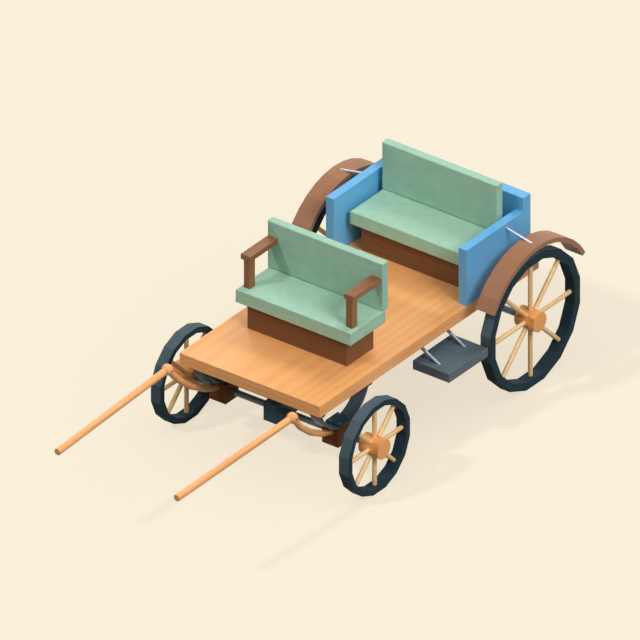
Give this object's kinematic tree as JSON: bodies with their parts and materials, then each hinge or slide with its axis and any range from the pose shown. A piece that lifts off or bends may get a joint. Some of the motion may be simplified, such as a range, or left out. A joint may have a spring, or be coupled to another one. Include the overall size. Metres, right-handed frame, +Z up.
{
  "type": "phaeton carriage",
  "caption": "Open four-wheeled phaeton carriage with two bench seats, a turntable fore-carriage that steers, spoked wheels, rear fenders, side steps and hinged shafts.",
  "frame": {"origin": "on the ground, in the middle of the whole outline", "axes": "+Z up, -Y to the front where the shafts point, +X to the carriage's left"},
  "size_m": [1.769, 4.163, 1.4315],
  "materials": {
    "deck_wood": "oiled pine planks",
    "shaft_wood": "oiled ash",
    "seat_box_wood": "dark walnut stain",
    "trim_wood": "brown stain",
    "fender_brown": "brown painted bent wood",
    "panel_blue": "blue coach paint",
    "seat_cloth": "mint wool coach cloth",
    "tyre_black": "solid rubber",
    "rim_paint": "slate painted rim segments",
    "spoke_wood": "varnished ash",
    "hub_wood": "oiled elm",
    "slate_iron": "slate painted iron",
    "slate_wood": "slate painted wood",
    "stay_steel": "bright steel"
  },
  "bodies": {
    "carriage_body": {"floor_board": "deck_wood", "side_sills": "deck_wood", "cross_bearers": "deck_wood", "turntable_plate": "slate_iron", "front_seat_box": "seat_box_wood", "rear_seat_box": "seat_box_wood", "front_seat_board": "seat_box_wood", "rear_seat_board": "seat_box_wood", "front_cushion": "seat_cloth", "rear_cushion": "seat_cloth", "front_back": "seat_cloth", "rear_back": "seat_cloth", "armrest_posts": "trim_wood", "armrests": "trim_wood", "side_panels": "panel_blue", "back_panel": "panel_blue", "fenders": "fender_brown", "fender_stays": "stay_steel", "step_plates": "slate_iron", "step_hangers": "stay_steel", "rear_axle": "slate_iron", "rear_springs": "slate_iron", "rear_axle_blocks": "trim_wood", "rear_spring_clamps": "slate_iron", "rear_spring_hangers": "slate_wood"},
    "fore_carriage": {"front_axle": "slate_iron", "front_springs": "slate_iron", "front_axle_blocks": "trim_wood", "front_spring_clamps": "slate_wood", "bolster": "slate_wood", "kingpin": "slate_iron", "turntable_bars": "slate_wood", "turntable_ring": "slate_iron", "shaft_arms": "shaft_wood", "shaft_pins": "slate_iron"},
    "left_shaft": {"left_shaft": "shaft_wood"},
    "right_shaft": {"right_shaft": "shaft_wood"},
    "front_left_wheel": {"front_left_tyre": "tyre_black", "front_left_rim": "rim_paint", "front_left_spokes": "spoke_wood", "front_left_hub": "hub_wood"},
    "front_right_wheel": {"front_right_tyre": "tyre_black", "front_right_rim": "rim_paint", "front_right_spokes": "spoke_wood", "front_right_hub": "hub_wood"},
    "rear_left_wheel": {"rear_left_tyre": "tyre_black", "rear_left_rim": "rim_paint", "rear_left_spokes": "spoke_wood", "rear_left_hub": "hub_wood"},
    "rear_right_wheel": {"rear_right_tyre": "tyre_black", "rear_right_rim": "rim_paint", "rear_right_spokes": "spoke_wood", "rear_right_hub": "hub_wood"}
  },
  "joints": [
    {"name": "steer", "type": "hinge", "parent": "carriage_body", "child": "fore_carriage", "pos_m": [0, -0.21978, 0.6555], "axis": [0, 0, 1], "range_deg": [-25, 25]},
    {"name": "front_left_roll", "type": "hinge", "parent": "fore_carriage", "child": "front_left_wheel", "pos_m": [0.802, -0.21978, 0.34857], "axis": [1, 0, 0], "continuous": true},
    {"name": "front_right_roll", "type": "hinge", "parent": "fore_carriage", "child": "front_right_wheel", "pos_m": [-0.802, -0.21978, 0.34857], "axis": [1, 0, 0], "continuous": true},
    {"name": "rear_left_roll", "type": "hinge", "parent": "carriage_body", "child": "rear_left_wheel", "pos_m": [0.802, 1.55322, 0.51001], "axis": [1, 0, 0], "continuous": true},
    {"name": "rear_right_roll", "type": "hinge", "parent": "carriage_body", "child": "rear_right_wheel", "pos_m": [-0.802, 1.55322, 0.51001], "axis": [1, 0, 0], "continuous": true},
    {"name": "left_shaft_lift", "type": "hinge", "parent": "fore_carriage", "child": "left_shaft", "pos_m": [0.533, -0.79578, 0.7515], "axis": [-1, 0, 0], "range_deg": [-32, 85]},
    {"name": "right_shaft_lift", "type": "hinge", "parent": "fore_carriage", "child": "right_shaft", "pos_m": [-0.533, -0.79578, 0.7515], "axis": [-1, 0, 0], "range_deg": [-32, 85]}
  ]
}
